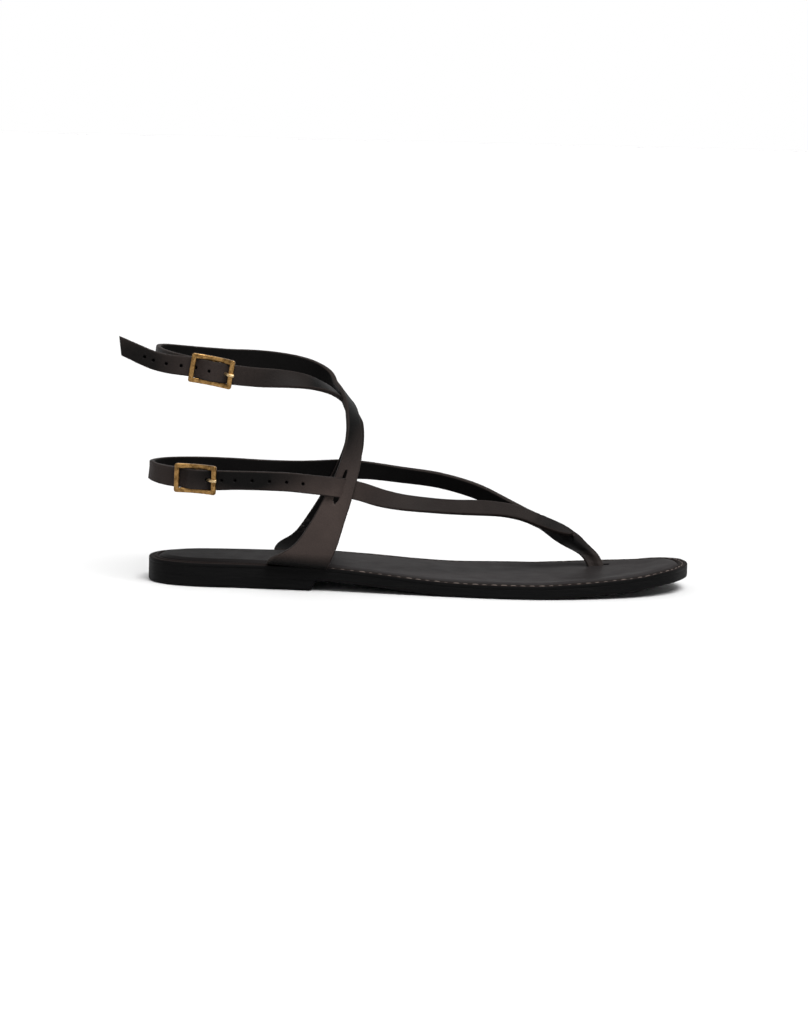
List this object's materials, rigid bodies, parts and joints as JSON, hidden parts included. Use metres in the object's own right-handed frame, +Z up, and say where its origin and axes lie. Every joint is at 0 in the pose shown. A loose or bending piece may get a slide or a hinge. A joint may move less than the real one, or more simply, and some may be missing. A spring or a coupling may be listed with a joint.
{
  "type": "sandal",
  "caption": "Flat brown leather thong sandal with crossed ankle straps, a heel strap, brass buckles and a padded grey insole.",
  "frame": {"origin": "on the floor under the heel, at the middle of the heel's flat underside (mount heel_rest)", "axes": "+X to the toe, +Y to the inner (medial) side of this right shoe, +Z up"},
  "size_m": [0.2754, 0.0879, 0.119],
  "materials": {
    "strap_leather": "smooth dark brown leather, satin",
    "insole_leather": "padded grey-brown leather, satin",
    "sole_rubber": "black, matt to satin edge",
    "brass": "aged brass, polished on the high spots"
  },
  "bodies": {
    "root": {"outsole": "sole_rubber", "heel": "sole_rubber", "insole": "insole_leather", "upper": "strap_leather", "buckle_upper": "brass", "buckle_lower": "brass", "prong_upper": "brass", "prong_lower": "brass"}
  },
  "joints": []
}
